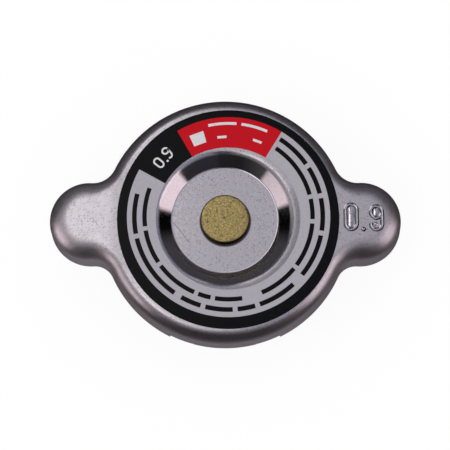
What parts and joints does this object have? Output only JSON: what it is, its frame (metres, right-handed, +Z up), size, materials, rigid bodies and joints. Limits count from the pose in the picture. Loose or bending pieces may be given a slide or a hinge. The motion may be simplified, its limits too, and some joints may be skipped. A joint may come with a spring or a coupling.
{
  "type": "radiator cap",
  "caption": "Winged steel radiator cap with a dished top, a riveted inner assembly that turns, a sprung pressure valve, a small vacuum valve and rubber gaskets, locked by bent lugs.",
  "frame": {"origin": "on the cap's axis, at the lower gasket's sealing face that the cap stands on", "axes": "+Z up along the cap's axis, +X towards the wing that carries the number, lugs along Y"},
  "size_m": [0.0778, 0.0546, 0.0226],
  "materials": {
    "plated_steel": "dull plated sheet",
    "label_print": "printed film",
    "rivet_brass": "dull",
    "stainless": "satin",
    "spring_wire": "drawn wire",
    "valve_brass": "satin",
    "rubber": "matte"
  },
  "bodies": {
    "shell": {"shell": "plated_steel", "label": "label_print"},
    "carrier": {"rivet": "rivet_brass", "thrust_washer": "valve_brass", "spring_disc": "stainless", "upper_gasket": "rubber", "spring_seat": "stainless", "spring_holder": "stainless", "tail_washer": "plated_steel", "main_spring": "spring_wire"},
    "pressure_valve": {"valve_cup": "stainless", "valve_plate": "stainless", "lower_gasket": "rubber", "vacuum_spring": "spring_wire"},
    "vacuum": {"vacuum_valve": "valve_brass", "vacuum_stem": "valve_brass", "spring_retainer": "valve_brass"}
  },
  "joints": [
    {"name": "carrier_turn", "type": "hinge", "parent": "shell", "child": "carrier", "pos_m": [0, 0, 0.0195], "axis": [0, 0, 1], "continuous": true},
    {"name": "pressure_lift", "type": "slide", "parent": "carrier", "child": "pressure_valve", "axis": [0, 0, 1], "range_m": [0, 0.003], "stiffness_N_per_m": 750, "springref_m": -0.004, "deforming": ["main_spring"]},
    {"name": "vacuum_drop", "type": "slide", "parent": "pressure_valve", "child": "vacuum", "axis": [0, 0, -1], "range_m": [0, 0.002], "stiffness_N_per_m": 150, "springref_m": -0.002, "deforming": ["vacuum_spring"]}
  ]
}
